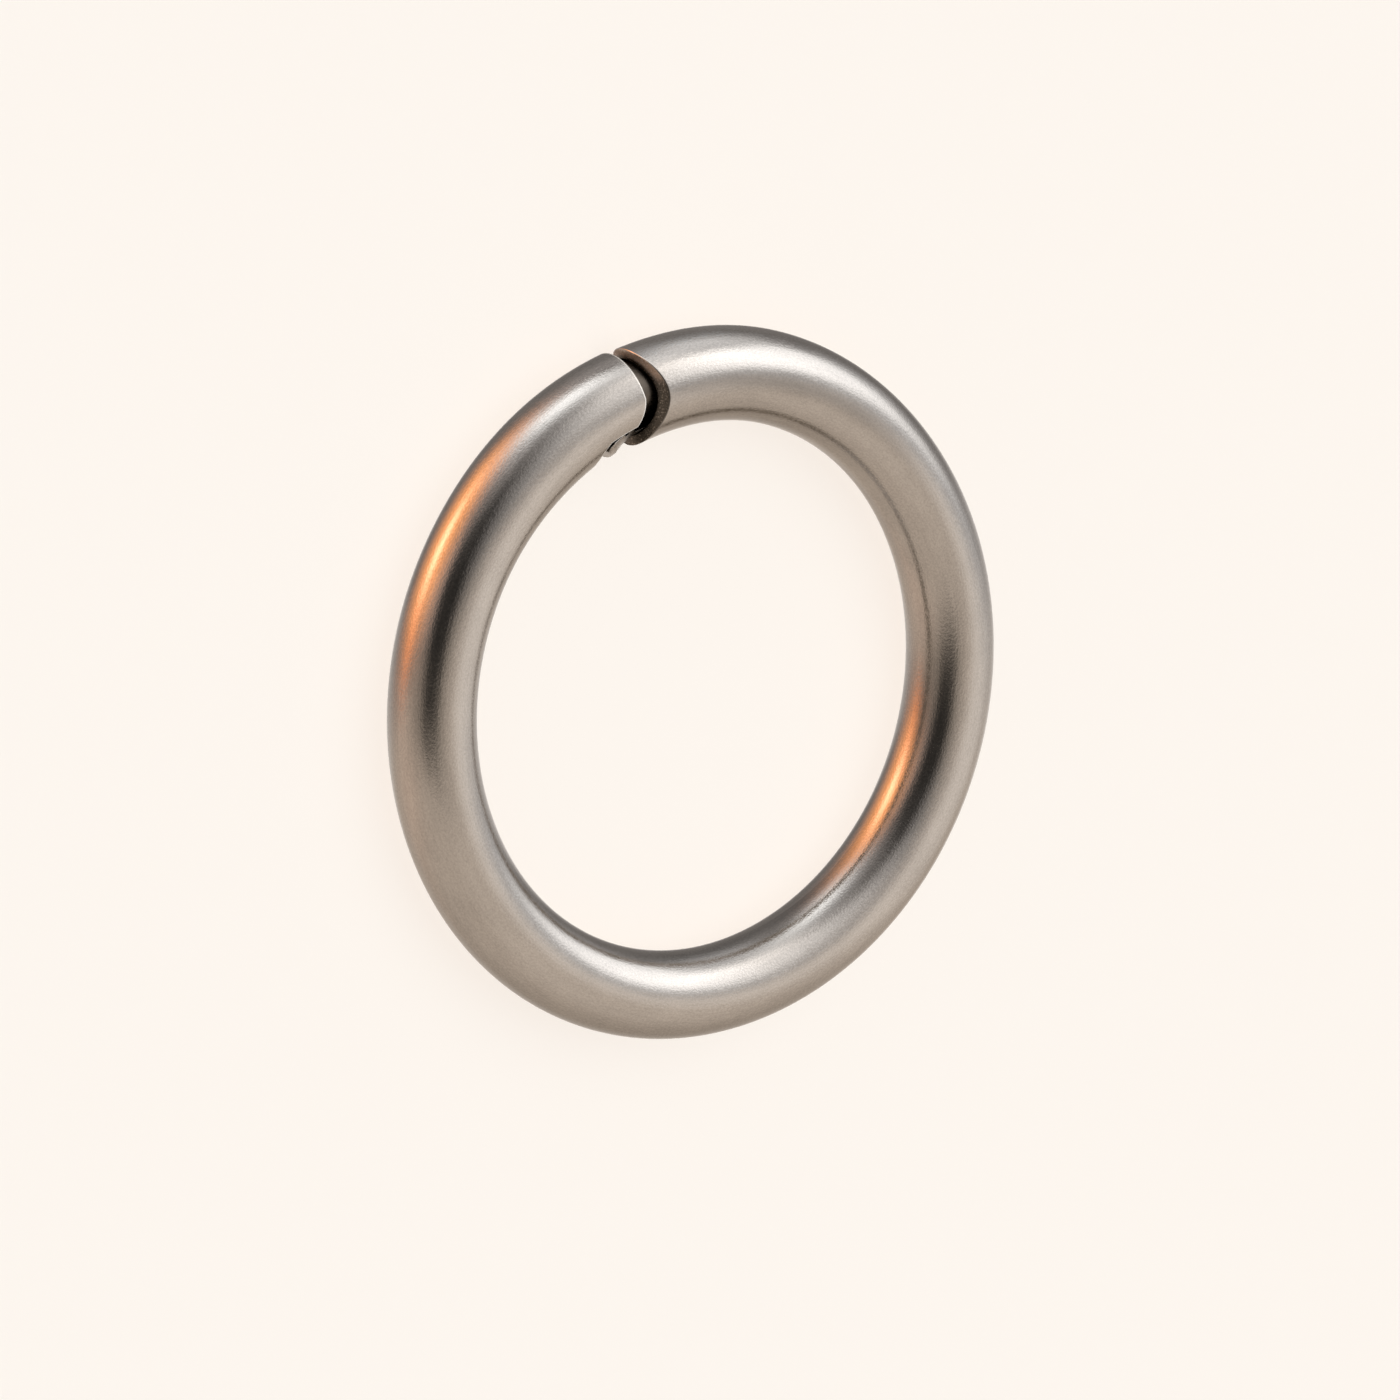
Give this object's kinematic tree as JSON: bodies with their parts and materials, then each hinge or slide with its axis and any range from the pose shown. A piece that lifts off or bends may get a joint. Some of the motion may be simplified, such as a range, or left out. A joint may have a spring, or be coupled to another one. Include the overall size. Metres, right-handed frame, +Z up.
{
  "type": "hoop earring",
  "caption": "Round-tube hoop in satin steel that lies flat, with a narrow gap where a catch tongue lies in a notch beside a core pin.",
  "frame": {"origin": "the centre of the hoop, on the surface that it lies on", "axes": "+Z up along the hoop's axis, +Y from the centre towards the gap, +X to the right of that seen from above"},
  "size_m": [0.0162, 0.0162, 0.0021],
  "materials": {
    "tube_steel": "satin, brushed along the tube",
    "pin_steel": "turned, dull",
    "tongue_steel": "satin"
  },
  "bodies": {
    "root": {"hoop_tube": "tube_steel", "core_pin": "pin_steel", "catch_tongue": "tongue_steel"}
  },
  "joints": []
}
